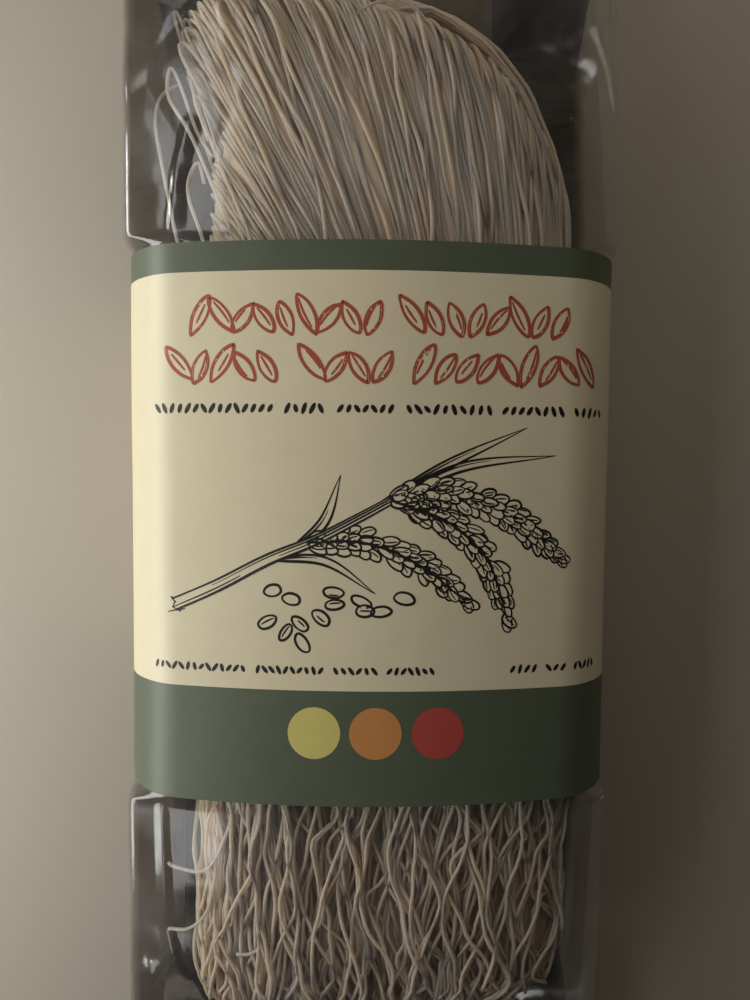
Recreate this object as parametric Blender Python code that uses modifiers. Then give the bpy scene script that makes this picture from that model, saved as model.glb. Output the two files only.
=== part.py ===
"""Pack of dried rice vermicelli: a clear gusseted film bag with a paper sleeve round its middle.

Metres, +Z up. The pack lies on its back: width along X, length along Y, printed face up.
The origin is on the surface that it lies on, under the middle of the pack.
"""

import math

import bmesh
import bpy


# Driving dimensions
PACK_WIDTH = 0.0950          # outside of the sleeve
PACK_HEIGHT = 0.0460         # outside of the sleeve, at the crown of its face
FACE_CROWN = 0.0065          # how far the middle of the face stands above its shoulders
SHOULDER_RADIUS = 0.0115     # long upper edges
HEEL_RADIUS = 0.0090         # long lower edges
SLEEVE_LENGTH = 0.1020
PAPER_THICKNESS = 0.0003
CLEARANCE = 0.0003           # between the paper and the film

BLOCK_LENGTH = 0.1720        # stretch of the bag that the noodles hold at full height
SEAL_START = 0.1210          # from the middle of the pack to where the end seal begins
SEAL_LENGTH = 0.0090
SEAL_THICKNESS = 0.0008
SEAL_HEIGHT = 0.0190         # height of the seals above the surface
SEAL_WIDTH = 0.0930
GUSSET_DEPTH = 0.0130        # how far the side pleats fold in between block and seal
CORNER_SHARE = 0.8           # most of the half height that a corner's radius may take
SHARP_EDGE = math.radians(35)

CORNER_STEPS = 6
FACE_STEPS = 10
SIDE_STEPS = 6
END_STEPS = 14
BLOCK_STEPS = 6

# Worked out from the driving dimensions
FILM_INSET = PAPER_THICKNESS + CLEARANCE
BAG_HALF_WIDTH = PACK_WIDTH / 2 - FILM_INSET
BLOCK_HALF = BLOCK_LENGTH / 2


def clear_scene():
    for old in list(bpy.data.objects):
        bpy.data.objects.remove(old, do_unlink=True)


def make_collection(name):
    collection = bpy.data.collections.new(name)
    bpy.context.scene.collection.children.link(collection)
    return collection


def principled(name, color, roughness, metallic):
    material = bpy.data.materials.new(name)
    material.use_nodes = True
    shader = material.node_tree.nodes["Principled BSDF"]
    shader.inputs["Base Color"].default_value = (*color, 1.0)
    shader.inputs["Roughness"].default_value = roughness
    shader.inputs["Metallic"].default_value = metallic
    return material, shader


def film_material():
    material, shader = principled("clear_film", (0.62, 0.58, 0.50), 0.12, 0.0)
    shader.inputs["Alpha"].default_value = 0.45
    return material


def paper_material():
    material, _ = principled("satin_paper", (0.80, 0.72, 0.50), 0.45, 0.0)
    return material


def ease(amount):
    """Smooth step from 0 to 1."""
    clipped = min(max(amount, 0.0), 1.0)
    return clipped * clipped * (3.0 - 2.0 * clipped)


def mix(start, end, amount):
    return start + (end - start) * amount


def corner(center_x, center_z, radius, start_angle):
    """Quarter round, turning counter-clockwise as seen from -Y."""
    points = []
    for step in range(CORNER_STEPS + 1):
        angle = start_angle + math.pi / 2 * step / CORNER_STEPS
        points.append((center_x + radius * math.cos(angle), center_z + radius * math.sin(angle)))
    return points


def side_run(edge_x, low, high, tuck, upward):
    """Points between a heel and a shoulder, folded in by tuck along the middle."""
    points = []
    for step in range(1, SIDE_STEPS):
        share = step / SIDE_STEPS
        fold = 1.0 - abs(2.0 * share - 1.0)
        height = mix(low, high, share if upward else 1.0 - share)
        points.append((edge_x - math.copysign(tuck * fold, edge_x), height))
    return points


def box_section(half_width, low, high, shoulder, heel, crown, tuck):
    """Closed outline of a rounded box with a flat underside and a crowned face."""
    brow = high - crown
    face_x = half_width - shoulder
    points = []
    points += corner(half_width - heel, low + heel, heel, -math.pi / 2)
    points += side_run(half_width, low + heel, brow - shoulder, tuck, True)
    points += corner(face_x, brow - shoulder, shoulder, 0.0)
    for step in range(1, FACE_STEPS):
        points.append((mix(face_x, -face_x, step / FACE_STEPS), brow))
    points += corner(-face_x, brow - shoulder, shoulder, math.pi / 2)
    points += side_run(-half_width, low + heel, brow - shoulder, tuck, False)
    points += corner(heel - half_width, low + heel, heel, math.pi)
    return [(x, crowned(x, z, half_width, brow - shoulder, brow, crown)) for x, z in points]


def crowned(x, z, half_width, spring, brow, crown):
    """Lift the face by the crown, most in the middle and not at all at the sides."""
    if z <= spring:
        return z
    rise = (z - spring) / (brow - spring)
    return z + crown * rise * (1.0 - (x / half_width) ** 2)


def sleeve_section():
    return box_section(PACK_WIDTH / 2, 0.0, PACK_HEIGHT, SHOULDER_RADIUS, HEEL_RADIUS, FACE_CROWN, 0.0)


def bag_section(y):
    """Outline of the bag at y, from the full block to the flat end seal."""
    reach = min(max((abs(y) - BLOCK_HALF) / (SEAL_START - BLOCK_HALF), 0.0), 1.0)
    closing = ease(reach)
    half_width = mix(BAG_HALF_WIDTH, SEAL_WIDTH / 2, closing)
    low = mix(FILM_INSET, SEAL_HEIGHT, closing)
    high = mix(PACK_HEIGHT - FILM_INSET, SEAL_HEIGHT + SEAL_THICKNESS, closing)
    crown = mix(FACE_CROWN, 0.0, closing)
    room = (high - crown - low) / 2 * CORNER_SHARE
    shoulder = min(SHOULDER_RADIUS - FILM_INSET, room)
    heel = min(HEEL_RADIUS - FILM_INSET, room)
    tuck = GUSSET_DEPTH * 4.0 * reach * (1.0 - reach)    # deepest halfway from block to seal
    return box_section(half_width, low, high, shoulder, heel, crown, tuck)


def bag_stations():
    """Places along Y where the bag's outline is set, from one seal's end to the other's."""
    half = [BLOCK_HALF * step / BLOCK_STEPS for step in range(1, BLOCK_STEPS + 1)]
    half += [mix(BLOCK_HALF, SEAL_START, step / END_STEPS) for step in range(1, END_STEPS + 1)]
    half.append(SEAL_START + SEAL_LENGTH)
    return [-y for y in reversed(half)] + [0.0] + half


def add_ring(mesh, outline, y):
    return [mesh.verts.new((x, y, z)) for x, z in outline]


def bridge(mesh, near, far):
    """Faces between two rings with the same number of points, +Y being far."""
    count = len(near)
    for index in range(count):
        after = (index + 1) % count
        mesh.faces.new((near[index], far[index], far[after], near[after]))


def object_from(mesh, name, collection, material):
    bmesh.ops.recalc_face_normals(mesh, faces=mesh.faces)
    data = bpy.data.meshes.new(name)
    mesh.to_mesh(data)
    mesh.free()
    data.materials.append(material)
    data.shade_smooth()
    data.set_sharp_from_angle(angle=SHARP_EDGE)
    made = bpy.data.objects.new(name, data)
    collection.objects.link(made)
    return made


def make_film_bag(collection):
    """The filled bag, a loft from one flat end seal over the block to the other."""
    mesh = bmesh.new()
    rings = [add_ring(mesh, bag_section(y), y) for y in bag_stations()]
    for near, far in zip(rings, rings[1:]):
        bridge(mesh, near, far)
    mesh.faces.new(rings[0])
    mesh.faces.new(list(reversed(rings[-1])))
    bmesh.ops.triangulate(mesh, faces=[face for face in mesh.faces if len(face.verts) > 4])
    return object_from(mesh, "film_bag", collection, film_material())


def make_paper_sleeve(collection):
    """The paper band: its outer face, thickened inwards."""
    mesh = bmesh.new()
    outline = sleeve_section()
    near = add_ring(mesh, outline, -SLEEVE_LENGTH / 2)
    far = add_ring(mesh, outline, SLEEVE_LENGTH / 2)
    bridge(mesh, near, far)
    sleeve = object_from(mesh, "paper_sleeve", collection, paper_material())
    wall = sleeve.modifiers.new("paper", "SOLIDIFY")
    wall.thickness = PAPER_THICKNESS
    wall.offset = -1.0
    wall.use_even_offset = True
    return sleeve


def main():
    clear_scene()
    pack = make_collection("rice_vermicelli_pack")
    make_film_bag(pack)
    make_paper_sleeve(pack)


main()
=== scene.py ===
import math
import random

import bmesh
import bpy
from mathutils import Euler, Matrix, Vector, noise


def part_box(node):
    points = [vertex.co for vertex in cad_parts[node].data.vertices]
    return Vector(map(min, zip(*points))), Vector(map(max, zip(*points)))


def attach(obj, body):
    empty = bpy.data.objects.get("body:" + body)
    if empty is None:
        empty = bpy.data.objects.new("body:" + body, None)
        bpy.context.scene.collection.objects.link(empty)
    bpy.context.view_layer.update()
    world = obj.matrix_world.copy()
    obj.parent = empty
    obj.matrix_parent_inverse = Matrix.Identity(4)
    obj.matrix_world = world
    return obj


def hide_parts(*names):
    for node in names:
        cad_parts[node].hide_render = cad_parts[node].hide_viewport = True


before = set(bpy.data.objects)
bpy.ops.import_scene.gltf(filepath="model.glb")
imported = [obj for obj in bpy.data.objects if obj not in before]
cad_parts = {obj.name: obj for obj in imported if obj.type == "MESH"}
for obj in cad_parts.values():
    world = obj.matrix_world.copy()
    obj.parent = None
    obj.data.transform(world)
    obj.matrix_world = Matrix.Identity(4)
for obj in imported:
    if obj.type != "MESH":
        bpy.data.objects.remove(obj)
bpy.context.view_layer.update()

# sizes in the dictionaries are millimetres, and the makers turn them to metres
mm = 0.001
bagLow, bagHigh = [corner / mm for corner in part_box("film_bag")]
sleeveLow, sleeveHigh = [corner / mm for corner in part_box("paper_sleeve")]


# small tools
def mix(start, end, share):
    return start + (end - start) * share


def clamp(value, low=0.0, high=1.0):
    return min(max(value, low), high)


def ease(share):
    share = clamp(share)
    return share * share * (3.0 - 2.0 * share)


def between(pairs, value):
    # straight-line look-up in a short list of (at, amount)
    if value <= pairs[0][0]:
        return pairs[0][1]
    for (atA, amountA), (atB, amountB) in zip(pairs, pairs[1:]):
        if value <= atB:
            return mix(amountA, amountB, (value - atA) / (atB - atA))
    return pairs[-1][1]


def wander(seed, along, length):
    # smooth swing between about -1 and 1 that changes over the given length
    return noise.noise(Vector((seed * 3.17, along / length, seed * 0.71))) * 1.6


def spans(start, end, step):
    count = max(1, round(abs(end - start) / step))
    return [mix(start, end, index / count) for index in range(count + 1)]


def smoothPath(points, step):
    # Catmull-Rom line through given points, about one point every step
    knots = [Vector(point) for point in points]
    knots = [2 * knots[0] - knots[1]] + knots + [2 * knots[-1] - knots[-2]]
    line = []
    for a, b, c, d in zip(knots, knots[1:], knots[2:], knots[3:]):
        count = max(2, round((c - b).length / step))
        for index in range(count):
            t = index / count
            line.append(0.5 * (2 * b + (c - a) * t + (2 * a - 5 * b + 4 * c - d) * t ** 2
                               + (3 * b - 3 * c + d - a) * t ** 3))
    return line + [knots[-2]]


# materials
def tone(hexCode):
    # sRGB hex to the linear colour that shaders take
    parts = [int(hexCode[at:at + 2], 16) / 255 for at in (1, 3, 5)]
    return tuple(c / 12.92 if c <= 0.04045 else ((c + 0.055) / 1.055) ** 2.4 for c in parts) + (1.0,)


def addNode(tree, kind, inputs=None, **settings):
    node = tree.nodes.new(kind)
    for name, value in settings.items():
        setattr(node, name, value)
    for name, value in (inputs or {}).items():
        if isinstance(value, bpy.types.NodeSocket):
            tree.links.new(value, node.inputs[name])
        else:
            node.inputs[name].default_value = value
    return node


def newMaterial(name):
    material = bpy.data.materials.new(name)
    material.use_nodes = True
    material.node_tree.nodes.clear()
    return material, material.node_tree


def finishMaterial(tree, shader):
    output = tree.nodes.new("ShaderNodeOutputMaterial")
    tree.links.new(shader, output.inputs["Surface"])


def perMetre(sizeMm):
    # texture scale that gives features of this size
    return 1.0 / (sizeMm * mm)


def driedRiceStarch(name, pale, deep, bleed, depth=1.8, clear=0.0):
    # Dried rice vermicelli: steamed rice starch pressed through a die and air dried.
    # It gives an off-white, slightly see-through thread with a soft waxy gleam, and some threads
    # dry paler than their neighbours.
    material, tree = newMaterial(name)
    place = addNode(tree, "ShaderNodeTexCoord").outputs["Object"]
    # threads run along the pack, so the tone changes across it thread by thread and slowly along it
    drawn = addNode(tree, "ShaderNodeMapping", {"Vector": place, "Scale": (1.0, 0.06, 1.0)})
    cloud = addNode(tree, "ShaderNodeTexNoise", {"Vector": drawn.outputs["Vector"], "Scale": perMetre(2.6),
                                                 "Detail": 3.0})
    share = addNode(tree, "ShaderNodeMapRange", {"Value": cloud.outputs["Fac"], "From Min": 0.3,
                                                 "From Max": 0.7})
    tint = addNode(tree, "ShaderNodeMix", {"Factor": share.outputs["Result"], "A": tone(deep),
                                           "B": tone(pale)}, data_type="RGBA")
    # the die leaves lines a tenth of a millimetre apart, drawn at half a millimetre so that they show
    grain = addNode(tree, "ShaderNodeTexNoise", {"Vector": place, "Scale": perMetre(0.5), "Detail": 2.0})
    bump = addNode(tree, "ShaderNodeBump", {"Height": grain.outputs["Fac"], "Strength": 0.25,
                                            "Distance": 0.05 * mm})
    gloss = addNode(tree, "ShaderNodeMapRange", {"Value": cloud.outputs["Fac"], "To Min": 0.38,
                                                 "To Max": 0.58})
    shader = addNode(tree, "ShaderNodeBsdfPrincipled", {
        "Base Color": tint.outputs["Result"], "Roughness": gloss.outputs["Result"], "IOR": 1.46,
        "Normal": bump.outputs["Normal"], "Subsurface Weight": bleed,
        "Subsurface Radius": (1.0, 0.92, 0.84), "Subsurface Scale": depth * mm})
    surface = shader.outputs["BSDF"]
    if clear > 0.0:
        # a thin thread lets some of what lies behind it show
        behind = addNode(tree, "ShaderNodeBsdfTransparent", {"Color": tone("#fff3e4")})
        surface = addNode(tree, "ShaderNodeMixShader", {0: clear, 1: surface,
                                                        2: behind.outputs["BSDF"]}).outputs["Shader"]
    finishMaterial(tree, surface)
    return material


def coatedPaper(name, ink, shade, gleam, sheen=0.5):
    # Satin coated label paper, offset printed: a flat tint with a faint mottle from the fibres,
    # and a soft sheen where it turns over the long edges.
    material, tree = newMaterial(name)
    place = addNode(tree, "ShaderNodeTexCoord").outputs["Object"]
    mottle = addNode(tree, "ShaderNodeTexNoise", {"Vector": place, "Scale": perMetre(4.0), "Detail": 5.0,
                                                  "Roughness": 0.6})
    tint = addNode(tree, "ShaderNodeMix", {"Factor": mottle.outputs["Fac"], "A": tone(shade),
                                           "B": tone(ink)}, data_type="RGBA")
    # paper fibres are 0.02 mm thick, drawn at 0.3 mm so that they show
    fibre = addNode(tree, "ShaderNodeTexNoise", {"Vector": place, "Scale": perMetre(0.3), "Detail": 3.0})
    bump = addNode(tree, "ShaderNodeBump", {"Height": fibre.outputs["Fac"], "Strength": 0.12,
                                            "Distance": 0.04 * mm})
    gloss = addNode(tree, "ShaderNodeMapRange", {"Value": mottle.outputs["Fac"], "To Min": gleam - 0.04,
                                                 "To Max": gleam + 0.05})
    shader = addNode(tree, "ShaderNodeBsdfPrincipled", {
        "Base Color": tint.outputs["Result"], "Roughness": gloss.outputs["Result"], "IOR": 1.5,
        "Specular IOR Level": sheen, "Normal": bump.outputs["Normal"]})
    finishMaterial(tree, shader.outputs["BSDF"])
    return material


def clearFilm(name, clear, paintedShadeTint, haze, shine):
    # Cast polypropylene film, folded and heat sealed: nearly clear, with a hard gloss on its creases,
    # stronger at a glancing angle, and a faint grey bloom where it is handled.
    # Several plies lie together in the pleats and under the pack. There it is tinted dark as painted shade,
    # for the shadow inside the bag, darker than the plies alone make it: the points carry how much.
    material, tree = newMaterial(name)
    place = addNode(tree, "ShaderNodeTexCoord").outputs["Object"]
    ripple = addNode(tree, "ShaderNodeTexNoise", {"Vector": place, "Scale": perMetre(14.0), "Detail": 3.0})
    bump = addNode(tree, "ShaderNodeBump", {"Height": ripple.outputs["Fac"], "Strength": 0.4,
                                            "Distance": 0.5 * mm})
    plies = addNode(tree, "ShaderNodeAttribute", attribute_name="plies")
    tint = addNode(tree, "ShaderNodeMix", {"Factor": plies.outputs["Fac"], "A": tone(clear),
                                           "B": tone(paintedShadeTint)}, data_type="RGBA")
    through = addNode(tree, "ShaderNodeBsdfTransparent", {"Color": tint.outputs["Result"]})
    worn = addNode(tree, "ShaderNodeMapRange", {"Value": ripple.outputs["Fac"], "From Min": 0.35,
                                                "From Max": 0.7, "To Min": shine, "To Max": shine * 2.2})
    gloss = addNode(tree, "ShaderNodeBsdfAnisotropic", {"Color": tone("#f4f6f8"),
                                                        "Normal": bump.outputs["Normal"],
                                                        "Roughness": worn.outputs["Result"]})
    facing = addNode(tree, "ShaderNodeLayerWeight", {"Blend": 0.5, "Normal": bump.outputs["Normal"]})
    edge = addNode(tree, "ShaderNodeMath", {0: facing.outputs["Facing"], 1: 4.0}, operation="POWER")
    share = addNode(tree, "ShaderNodeMath", {0: edge.outputs["Value"], 1: 0.7, 2: 0.08},
                    operation="MULTIPLY_ADD")
    skin = addNode(tree, "ShaderNodeMixShader", {0: share.outputs["Value"], 1: through.outputs["BSDF"],
                                                 2: gloss.outputs["BSDF"]})
    bloom = addNode(tree, "ShaderNodeBsdfDiffuse", {"Color": tone("#c9ccd0")})
    amount = addNode(tree, "ShaderNodeMapRange", {"Value": ripple.outputs["Fac"], "From Min": 0.35,
                                                  "From Max": 0.75, "To Min": haze * 0.4,
                                                  "To Max": haze * 1.6})
    film = addNode(tree, "ShaderNodeMixShader", {0: amount.outputs["Result"], 1: skin.outputs["Shader"],
                                                 2: bloom.outputs["BSDF"]})
    finishMaterial(tree, film.outputs["Shader"])
    return material


creamPaper = coatedPaper("creamCoatedPaper", "#e3d8ba", "#dbcfaf", 0.42)
greenPaper = coatedPaper("greenPrintedPaper", "#5b6451", "#545c4a", 0.45, 0.6)
barePaper = coatedPaper("uncoatedPaperBack", "#e8e4d8", "#ddd8ca", 0.75)
terracottaInk = coatedPaper("terracottaOffsetInk", "#b0563f", "#a54f3a", 0.45)
blackInk = coatedPaper("blackOffsetInk", "#26231f", "#1f1d1a", 0.45)
limeInk = coatedPaper("limeOffsetInk", "#d6c97a", "#cdc070", 0.45)
orangeInk = coatedPaper("orangeOffsetInk", "#cd8d54", "#c4854c", 0.45)
redInk = coatedPaper("redOffsetInk", "#b64d46", "#ad4741", 0.45)
noodleStarch = driedRiceStarch("driedRiceStarch", "#f9e4cd", "#eed3b8", 1.0, clear=0.2)
fusedStarch = driedRiceStarch("fusedRiceStarch", "#efdcc7", "#dfc9b1", 0.8)
strayStarch = driedRiceStarch("looseThreadStarch", "#f2ebe3", "#e3d9ce", 1.0, clear=0.3)
# a darker starch tone, painted shade for the deep gaps between the threads of the loose end
paintedShadeStarch = driedRiceStarch("innerRiceStarchPaintedShade", "#cdb9a0", "#a18b72", 0.0)
# the second, darker film tone is painted shade, for the shadow inside the bag under its pleats
bagFilm = clearFilm("castPolypropyleneFilmPaintedShade", "#f4f3f1", "#7f766e", 0.05, 0.09)
sealFilm = clearFilm("crimpedPolypropyleneFilmPaintedShade", "#d8d8d6", "#b0aca6", 0.16, 0.16)
print("materials ready")


# makers that every piece uses
def addPiece(name, data, materials):
    for material in materials:
        data.materials.append(material)
    piece = bpy.data.objects.new(name, data)
    bpy.context.scene.collection.objects.link(piece)
    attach(piece, "root")
    return piece


def meshFrom(name, points, faces, smooth=True):
    data = bpy.data.meshes.new(name)
    data.from_pydata([tuple(value * mm for value in point) for point in points], [], faces)
    data.validate()
    if smooth:
        data.shade_smooth()
    data.update()
    return data


def ringFaces(row, around, flipped=False):
    # the faces between one ring of points and the next
    faces = []
    for i in range(around):
        a, b = row * around + i, row * around + (i + 1) % around
        if flipped:
            faces.append((a, a + around, b + around, b))
        else:
            faces.append((a, b, b + around, a + around))
    return faces


def threadPiece(name, lines, thickness, material):
    # one joined mesh of round threads, each line a list of points
    curve = bpy.data.curves.new(name + "Lines", "CURVE")
    curve.dimensions = "3D"
    curve.bevel_depth = thickness / 2 * mm
    curve.bevel_resolution = 1
    curve.use_fill_caps = True
    for line in lines:
        spline = curve.splines.new("POLY")
        spline.points.add(len(line) - 1)
        flat = []
        for x, y, z in line:
            flat += [x * mm, y * mm, z * mm, 1.0]
        spline.points.foreach_set("co", flat)
    holder = bpy.data.objects.new(name + "Lines", curve)
    bpy.context.scene.collection.objects.link(holder)
    graph = bpy.context.evaluated_depsgraph_get()
    data = bpy.data.meshes.new_from_object(holder.evaluated_get(graph))
    bpy.data.objects.remove(holder)
    welded = bmesh.new()
    welded.from_mesh(data)
    bmesh.ops.remove_doubles(welded, verts=welded.verts, dist=0.001 * mm)
    welded.to_mesh(data)
    welded.free()
    data.shade_smooth()
    data.name = name
    print(name, "threads", len(lines), "faces", len(data.polygons))
    return addPiece(name, data, [material])


# outlines of bag and sleeve
def halfOutline(shape, steps):
    # right half of a rounded box with a flat underside and a crowned face, bottom middle to top middle
    wide, low, high = shape["halfWidth"], shape["low"], shape["high"]
    shoulder, heel, crown, tuck = shape["shoulder"], shape["heel"], shape["crown"], shape["tuck"]
    brow = high - crown
    spring = brow - shoulder
    points = [(mix(0.0, wide - heel, i / steps["under"]), low) for i in range(steps["under"])]
    for i in range(steps["heel"]):
        angle = math.pi / 2 * i / steps["heel"]
        points.append((wide - heel + heel * math.sin(angle), low + heel - heel * math.cos(angle)))
    for i in range(steps["side"]):
        share = i / steps["side"]
        fold = 1.0 - abs(2.0 * share - 1.0)
        points.append((wide - tuck * fold, mix(low + heel, spring, share)))
    for i in range(steps["shoulder"]):
        angle = math.pi / 2 * i / steps["shoulder"]
        points.append((wide - shoulder + shoulder * math.cos(angle), spring + shoulder * math.sin(angle)))
    points += [(mix(wide - shoulder, 0.0, i / steps["face"]), brow) for i in range(steps["face"] + 1)]
    lifted = []
    for x, z in points:
        rise = clamp((z - spring) / max(brow - spring, 0.001))
        lifted.append((x, z + crown * rise * (1.0 - (x / wide) ** 2)))
    return lifted


def fullOutline(shape, steps):
    # whole ring, counter-clockwise as seen from -Y, starting at the bottom middle
    right = halfOutline(shape, steps)
    return right + [(-x, z) for x, z in reversed(right[1:-1])]


# the film bag's outline, which the noodles stay inside
bag = dict(
    blockHalf=99.0,       # where the bag begins to close
    sealStart=121.0,
    sealHeight=19.0,
    sealThick=0.5,
    sealWidth=93.0,
    shoulder=10.9,        # under the sleeve
    heel=8.4,
    crown=6.5,
    foldRadius=1.6,       # clear of the sleeve the bag keeps the sharp folds of its making
    foldCrown=8.0,
    relax=2.8,            # how far past the sleeve the folds take to show
    # how far the side pleats fold in, at a distance from the middle of the pack
    gussetLeft=((51.0, 4.0), (58.0, 10.5), (68.0, 12.0), (77.0, 14.0), (84.0, 11.5), (97.0, 8.0),
                (104.0, 8.5), (121.0, 22.0)),
    gussetRight=((51.0, 3.0), (60.0, 6.0), (75.0, 9.0), (88.0, 15.5), (96.0, 22.0), (121.0, 22.0)),
    gussetLoose=((51.0, 3.0), (58.0, 7.5), (96.0, 7.0), (104.0, 12.0), (121.0, 22.0)),
    foldStrip=0.4,        # single film outside the pleats, along the outer folds, left without painted shade
    # painted shade on the underside of the bag, for the shadow the pack casts inside it
    underPaintedShade=0.8,
    filmRow=0.9,          # row spacing where the film shows
    sealRow=0.3,
    crimpPitch=1.5,
    crimpHeight=0.16,
    crumple=0.9,          # depth of the folds between block and seal
    facet=(13.0, 19.0),   # size of the flat facets between those folds, across and along the pack
    crumpleStart=60.0,    # they grow from here, over this stretch, and fade out before the seal
    crumpleGrow=40.0,
    crumpleEnd=124.0,
    crumpleFade=14.0,
    ripple=0.22,          # and over the noodles
    tuckedRows=3.0,       # how far under the sleeve the fine rows run
    bareOver=4.0,         # stretch past the sleeve over which the film comes free
    faceStart=8.0,        # height above the seals from which the creases of the face count
    creaseEnd=104.0,      # where they begin to fade, and over what stretch
    creaseFade=14.0,
    halfHeight=22.0,
    steps=dict(under=26, heel=6, side=24, shoulder=8, face=104),
    # long sharp folds in the face: from, to, height, width of the steep left flank and of the right
    creases=(
        ((-37.2, 50.0), (-36.4, 60.0), 0.32, 0.9, 3.0),
        ((-36.4, 60.0), (-35.6, 66.5), 0.32, 0.9, 3.0),
        ((-35.6, 66.5), (-33.4, 73.5), 0.26, 0.9, 3.0),
        ((37.0, 94.5), (31.5, 84.0), 0.55, 1.5, 1.5),
        ((30.5, 83.4), (36.4, 79.6), 0.5, 1.5, 1.5),
        ((27.6, 91.8), (36.4, 79.6), 0.6, 1.4, 1.8),
        ((27.6, 91.8), (22.5, 86.0), 0.5, 1.4, 1.4),
        ((-39.5, -50.0), (-38.5, -78.0), 0.5, 1.6, 1.6),
        ((-38.5, -78.0), (-34.0, -92.0), 0.5, 1.6, 1.6),
        ((40.5, -50.0), (39.0, -84.0), 0.6, 1.6, 1.6),
    ),
    # small blisters in the face: where, radius, height
    blisters=(((-42.2, -87.6), 3.4, 0.6),),
    # ridge of the right side, beyond which the face slopes off and the film has no painted shade
    ridge=((-130.0, 40.0), (-52.0, 43.5), (52.0, 43.5), (97.0, 40.0), (130.0, 40.0)),
    ridgeSlope=1.2,
)


def bagShape(y):
    reach = clamp((abs(y) - bag["blockHalf"]) / (bag["sealStart"] - bag["blockHalf"]))
    closing = ease(reach)
    free = ease((abs(y) - sleeveHigh.y) / bag["relax"])
    low = mix(bagLow.z, bag["sealHeight"], closing)
    high = mix(bagHigh.z, bag["sealHeight"] + bag["sealThick"], closing)
    crown = mix(bag["crown"], bag["foldCrown"], free) * (1.0 - closing)
    room = (high - crown - low) / 2 * 0.8
    return dict(halfWidth=mix(bagHigh.x, bag["sealWidth"] / 2, closing), low=low, high=high,
                shoulder=min(mix(bag["shoulder"], bag["foldRadius"], free), room),
                heel=min(mix(bag["heel"], bag["foldRadius"], free), room), crown=crown, tuck=0.0)


def underFilm(x, y, z):
    # keeps a thread inside the bag
    shape = bagShape(y)
    roof = shape["high"] - shape["crown"] * (x / shape["halfWidth"]) ** 2 - 0.9
    reach = shape["halfWidth"] - 2.0
    return (clamp(x, -reach, reach), y, clamp(z, shape["low"] + 0.8, max(roof, shape["low"] + 1.0)))


# the paper sleeve round the middle
sleeve = dict(
    paper=0.2,            # thickness
    rest=0.25,            # underside above the surface, room for the lap
    shoulder=11.5,
    heel=9.0,
    crown=6.5,
    topBand=5.3,          # green band nearest the top of the print
    bottomBand=21.4,
    rows=2.0,             # mesh row spacing along the pack
    ripple=0.10,          # how far the paper leaves its true outline
    lapWidth=12.0,
    lapEdge=9.0,          # where the glued lap ends, right of the middle
    steps=dict(under=14, heel=8, side=12, shoulder=14, face=34),
)
sleeveShape = dict(halfWidth=sleeveHigh.x, low=sleeve["rest"], high=sleeveHigh.z,
                   shoulder=sleeve["shoulder"], heel=sleeve["heel"], crown=sleeve["crown"], tuck=0.0)
# along the pack, where the cream part ends and the green bands begin
creamHigh = sleeveHigh.y - sleeve["topBand"]
creamLow = sleeveLow.y + sleeve["bottomBand"]


def shrunk(shape, inset):
    smaller = dict(shape)
    smaller["halfWidth"] -= inset
    smaller["low"] += inset
    smaller["high"] -= inset
    smaller["shoulder"] -= inset
    smaller["heel"] -= inset
    return smaller


def paperRipple(x, y, z):
    # the sleeve is pulled snug over the noodles, so it is not quite true
    across = noise.noise(Vector((x / 21.0, y / 34.0, z / 17.0)))
    fine = noise.noise(Vector((x / 8.0, y / 15.0, 9.0 + z / 8.0)))
    return sleeve["ripple"] * (across + 0.35 * fine)


def makeSleeve():
    rows = spans(sleeveLow.y, creamLow, sleeve["rows"])
    rows += spans(creamLow, creamHigh, sleeve["rows"])[1:]
    rows += spans(creamHigh, sleeveHigh.y, sleeve["rows"])[1:]
    outer = fullOutline(sleeveShape, sleeve["steps"])
    inner = fullOutline(shrunk(sleeveShape, sleeve["paper"]), sleeve["steps"])
    around = len(outer)
    points, faces, kinds = [], [], []
    for outline in (outer, inner):
        for y in rows:
            for x, z in outline:
                offset = paperRipple(x, y, z) if z > sleeve["heel"] else 0.0
                points.append((x * (1.0 + offset / sleeveHigh.x), y, z + offset))
    skin = around * len(rows)
    for row in range(len(rows) - 1):
        middle = (rows[row] + rows[row + 1]) / 2
        printed = 0 if creamLow < middle < creamHigh else 1
        for i in range(around):
            a, b = row * around + i, row * around + (i + 1) % around
            faces.append((a, b, b + around, a + around))
            kinds.append(printed)
            faces.append((skin + b, skin + a, skin + a + around, skin + b + around))
            kinds.append(2)
    last = (len(rows) - 1) * around
    for i in range(around):
        j = (i + 1) % around
        faces.append((j, i, skin + i, skin + j))
        faces.append((last + i, last + j, skin + last + j, skin + last + i))
        kinds += [2, 2]
    data = meshFrom("paperSleeve", points, faces)
    piece = addPiece("paperSleeve", data, [creamPaper, greenPaper, barePaper])
    data.polygons.foreach_set("material_index", kinds)
    data.set_sharp_from_angle(angle=math.radians(40))
    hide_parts("paper_sleeve")
    return piece


def makeLap():
    # the end of the paper, glued over its start on the underside
    right = sleeve["lapEdge"]
    left = right - sleeve["lapWidth"]
    high, low = sleeve["rest"] - 0.01, sleeve["rest"] - 0.01 - sleeve["paper"]
    cuts = [sleeveLow.y, creamLow, creamHigh, sleeveHigh.y]
    points, faces, kinds = [], [], []
    for y in cuts:
        points += [(left, y, high), (right, y, high), (right, y, low), (left + 1.5, y, low)]
    for row in range(len(cuts) - 1):
        faces += ringFaces(row, 4, flipped=True)
        kinds += [0 if row == 1 else 1] * 4
    faces.append((3, 2, 1, 0))
    faces.append((12, 13, 14, 15))
    kinds += [2, 2]
    data = meshFrom("sleeveLap", points, faces, smooth=False)
    piece = addPiece("sleeveLap", data, [creamPaper, greenPaper, barePaper])
    data.polygons.foreach_set("material_index", kinds)
    return piece


makeSleeve()
makeLap()
print("paper sleeve ready")


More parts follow.
